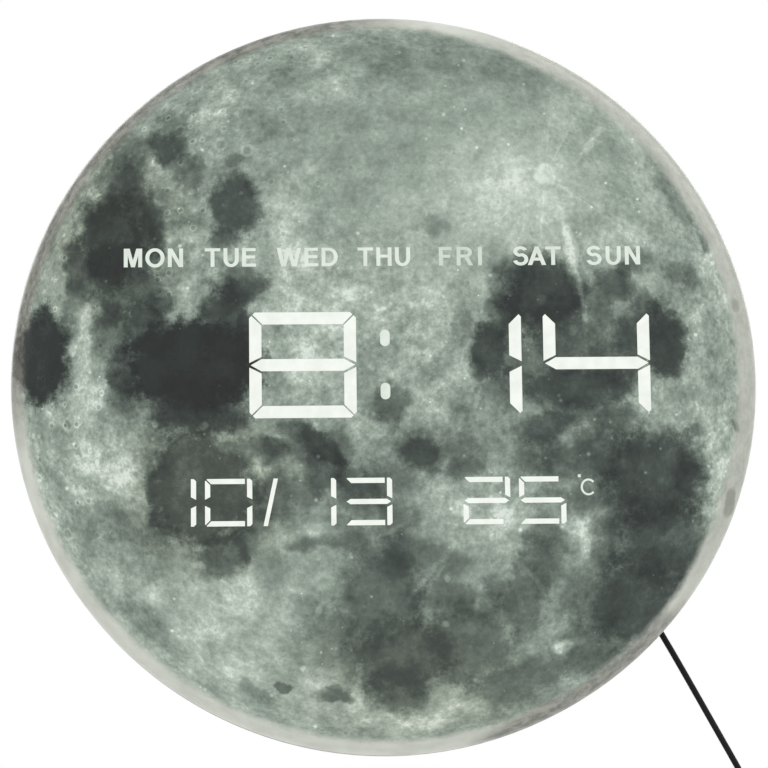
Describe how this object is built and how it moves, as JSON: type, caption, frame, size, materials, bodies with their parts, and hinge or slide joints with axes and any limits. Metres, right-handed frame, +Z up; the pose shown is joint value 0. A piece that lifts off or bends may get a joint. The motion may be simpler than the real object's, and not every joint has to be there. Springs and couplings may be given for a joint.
{
  "type": "led wall clock",
  "caption": "Round wall clock: dished face with lit bar figures for time, date, weekday and temperature, rear cover with keyhole hanger, push buttons, cell cap and a lead with a plug.",
  "frame": {"origin": "middle of the keyhole's entry hole, at the outer face of the hanger plate", "axes": "+X to the right seen from the front, +Y towards the wall, +Z up"},
  "size_m": [0.3, 0.0516, 0.355],
  "materials": {
    "moon_print": "printed moon picture under a clear gloss coat",
    "window": "milky light guide, printed over like the face",
    "reflector": "white moulded light box",
    "circuit_board": "green solder mask",
    "lamp": "white light-emitting diode with yellow phosphor",
    "chip": "black moulded package",
    "metal_can": "drawn can",
    "rear_black": "fine spark-eroded texture",
    "button_grey": "satin moulded cap",
    "switch_black": "moulded switch",
    "steel": "zinc-plated steel",
    "brass": "sprung contact",
    "pad_rubber": "soft rubber",
    "lead_black": "black cable sheath",
    "wire_red": "insulated wires",
    "ribbon_grey": "flat ribbon cable",
    "tie_black": "woven strap",
    "plug_black": "satin overmould",
    "shell_metal": "nickel-plated steel",
    "tongue_white": "contact carrier",
    "holder_plastic": "moulded cell holder"
  },
  "bodies": {
    "clock": {"board_screws": "steel", "button_board": "circuit_board", "buzzer": "switch_black", "calendar_lamps": "lamp", "calendar_reflector": "reflector", "capacitors": "metal_can", "cell_contact": "brass", "cell_holder": "holder_plastic", "clock_crystal": "metal_can", "coil_tie": "tie_black", "coin_cell": "steel", "colon_windows": "window", "controller_chip": "chip", "cord_coil": "lead_black", "cord_tail": "lead_black", "cover_screws": "steel", "day_tens_windows": "window", "day_units_windows": "window", "degree_window": "window", "display_board": "circuit_board", "driver_chips": "chip", "face_panel": "moon_print", "hanger_plate": "steel", "hanger_screws": "steel", "hanger_tray": "rear_black", "hour_tens_windows": "window", "hour_units_windows": "window", "minute_tens_windows": "window", "minute_units_windows": "window", "month_tens_windows": "window", "month_units_windows": "window", "plug_body": "plug_black", "plug_shell": "shell_metal", "plug_tongue": "tongue_white", "power_cord": "lead_black", "power_wires": "wire_red", "rear_cover": "rear_black", "ribbon_cable": "ribbon_grey", "slash_window": "window", "strain_relief": "lead_black", "switch_bodies": "switch_black", "temperature_sensor": "chip", "temperature_tens_windows": "window", "temperature_units_windows": "window", "time_lamps": "lamp", "time_reflector": "reflector", "wall_pads": "pad_rubber", "weekday_lamps": "lamp", "weekday_reflector": "reflector", "weekday_windows": "window", "wire_socket": "tongue_white"},
    "set_key": {"set_button": "button_grey", "set_plunger": "switch_black"},
    "up_key": {"up_button": "button_grey", "up_plunger": "switch_black"},
    "down_key": {"down_button": "button_grey", "down_plunger": "switch_black"},
    "alarm_key": {"alarm_button": "button_grey", "alarm_plunger": "switch_black"},
    "cell_cap": {"cell_cap": "rear_black"}
  },
  "joints": [
    {"name": "set_press", "type": "slide", "parent": "clock", "child": "set_key", "axis": [0, -1, 0], "range_m": [0, 0.0005], "stiffness_N_per_m": 2000},
    {"name": "up_press", "type": "slide", "parent": "clock", "child": "up_key", "axis": [0, -1, 0], "range_m": [0, 0.0005], "stiffness_N_per_m": 2000},
    {"name": "down_press", "type": "slide", "parent": "clock", "child": "down_key", "axis": [0, -1, 0], "range_m": [0, 0.0005], "stiffness_N_per_m": 2000},
    {"name": "alarm_press", "type": "slide", "parent": "clock", "child": "alarm_key", "axis": [0, -1, 0], "range_m": [0, 0.0005], "stiffness_N_per_m": 2000},
    {"name": "cell_cap_turn", "type": "hinge", "parent": "clock", "child": "cell_cap", "pos_m": [0.062, 0, -0.093], "axis": [0, 1, 0], "range_deg": [0, 40]}
  ]
}
